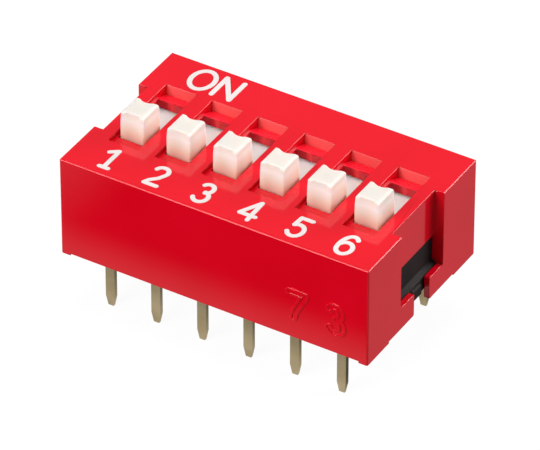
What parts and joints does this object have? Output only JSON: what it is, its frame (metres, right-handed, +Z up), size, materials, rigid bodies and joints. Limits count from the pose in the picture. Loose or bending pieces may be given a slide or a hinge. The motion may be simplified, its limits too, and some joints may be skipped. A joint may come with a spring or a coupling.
{
  "type": "dip switch",
  "caption": "Slide-actuated DIP switch: a moulded housing with a row of raised slide actuators over straight board terminals.",
  "frame": {"origin": "midway between the terminals, in the plane of their tips", "axes": "+X along the row from position 1 to position 6, +Y towards the ON side, +Z up"},
  "size_m": [0.0166, 0.01, 0.0098],
  "materials": {
    "red_plastic": "gloss",
    "white_plastic": "satin",
    "black_plastic": "matte",
    "tinned_brass": "dull tin plating",
    "gilt_strip": "gold plating",
    "white_ink": "printed ink"
  },
  "bodies": {
    "housing": {"cover": "red_plastic", "base": "black_plastic", "terminal_front_1": "tinned_brass", "terminal_front_2": "tinned_brass", "terminal_front_3": "tinned_brass", "terminal_front_4": "tinned_brass", "terminal_front_5": "tinned_brass", "terminal_front_6": "tinned_brass", "terminal_rear_1": "tinned_brass", "terminal_rear_2": "tinned_brass", "terminal_rear_3": "tinned_brass", "terminal_rear_4": "tinned_brass", "terminal_rear_5": "tinned_brass", "terminal_rear_6": "tinned_brass", "printed_legend": "white_ink"},
    "actuator_1": {"slider_1": "white_plastic", "wiper_1": "gilt_strip"},
    "actuator_2": {"slider_2": "white_plastic", "wiper_2": "gilt_strip"},
    "actuator_3": {"slider_3": "white_plastic", "wiper_3": "gilt_strip"},
    "actuator_4": {"slider_4": "white_plastic", "wiper_4": "gilt_strip"},
    "actuator_5": {"slider_5": "white_plastic", "wiper_5": "gilt_strip"},
    "actuator_6": {"slider_6": "white_plastic", "wiper_6": "gilt_strip"}
  },
  "joints": [
    {"name": "slide_1", "type": "slide", "parent": "housing", "child": "actuator_1", "axis": [0, 1, 0], "range_m": [0, 0.00196]},
    {"name": "slide_2", "type": "slide", "parent": "housing", "child": "actuator_2", "axis": [0, 1, 0], "range_m": [0, 0.00196]},
    {"name": "slide_3", "type": "slide", "parent": "housing", "child": "actuator_3", "axis": [0, 1, 0], "range_m": [0, 0.00196]},
    {"name": "slide_4", "type": "slide", "parent": "housing", "child": "actuator_4", "axis": [0, 1, 0], "range_m": [0, 0.00196]},
    {"name": "slide_5", "type": "slide", "parent": "housing", "child": "actuator_5", "axis": [0, 1, 0], "range_m": [0, 0.00196]},
    {"name": "slide_6", "type": "slide", "parent": "housing", "child": "actuator_6", "axis": [0, 1, 0], "range_m": [0, 0.00196]}
  ]
}
